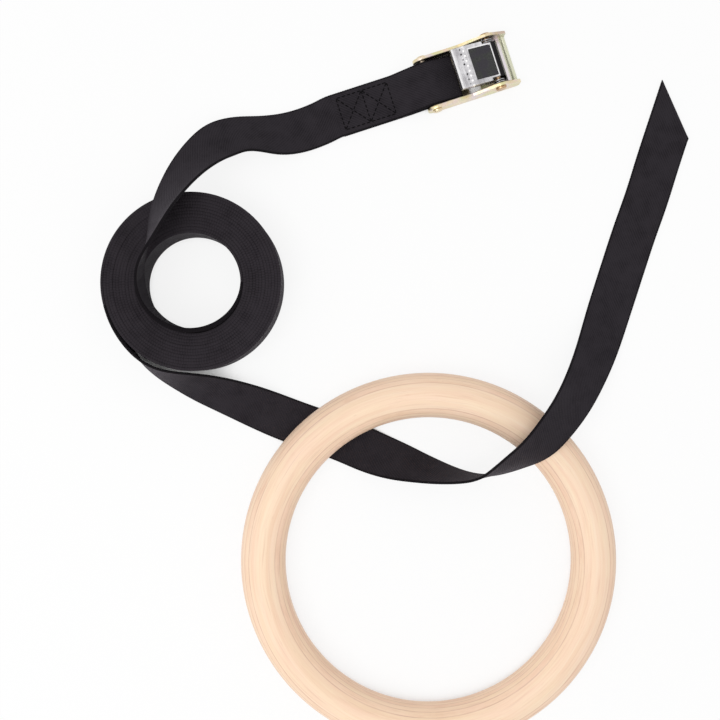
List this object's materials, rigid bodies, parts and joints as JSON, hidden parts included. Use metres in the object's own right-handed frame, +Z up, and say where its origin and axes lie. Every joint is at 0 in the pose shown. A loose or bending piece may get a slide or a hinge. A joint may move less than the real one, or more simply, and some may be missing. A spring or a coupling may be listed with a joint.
{
  "type": "gymnastics ring with strap",
  "caption": "Laminated wooden gymnastics ring threaded on a coiled black webbing strap with a sprung metal cam buckle sewn to its end.",
  "frame": {"origin": "on the floor, under the middle of the ring", "axes": "+Z up, along the ring's axis to within half a degree; +Y from the ring towards the buckle; +X from the coil towards the strap's free end"},
  "size_m": [0.3715, 0.4533, 0.0605],
  "materials": {
    "birch_long": "fine sanded birch veneer",
    "birch_cross": "fine sanded birch veneer, grain across",
    "webbing": "woven synthetic webbing",
    "thread": "twisted thread",
    "yellow_zinc": "yellow plated steel with a rainbow tint",
    "rivet": "brown plated steel",
    "spring_wire": "drawn wire",
    "zinc_casting": "tumbled zinc casting",
    "pad": "satin moulded"
  },
  "bodies": {
    "strap": {"strap_coil": "webbing", "strap_lead": "webbing", "strap_tail": "webbing", "strap_fold": "webbing", "box_stitching": "thread"},
    "ring": {"ring_ply_01": "birch_long", "ring_ply_02": "birch_cross", "ring_ply_03": "birch_long", "ring_ply_04": "birch_cross", "ring_ply_05": "birch_long", "ring_ply_06": "birch_cross", "ring_ply_07": "birch_long", "ring_ply_08": "birch_cross", "ring_ply_09": "birch_long", "ring_ply_10": "birch_cross", "ring_ply_11": "birch_long"},
    "buckle": {"buckle_frame": "yellow_zinc", "anchor_pin": "yellow_zinc", "pivot_pin": "rivet", "cam_springs": "spring_wire"},
    "lever": {"cam_lever": "zinc_casting", "thumb_pad": "pad"}
  },
  "joints": [
    {"name": "ring_turn", "type": "hinge", "parent": "strap", "child": "ring", "pos_m": [0, 0, 0.01485], "axis": [0.0051, -0.0064, 1], "continuous": true},
    {"name": "buckle_swing", "type": "hinge", "parent": "strap", "child": "buckle", "pos_m": [0.00118, 0.30201, 0.006], "axis": [0.309, -0.9511, 0], "range_deg": [0, 120]},
    {"name": "cam_press", "type": "hinge", "parent": "buckle", "child": "lever", "pos_m": [0.04113, 0.31499, 0.011], "axis": [0.309, -0.9511, 0], "range_deg": [0, 24], "stiffness_Nm_per_rad": 0.3, "springref_deg": -20.05, "deforming": ["cam_springs"]}
  ]
}
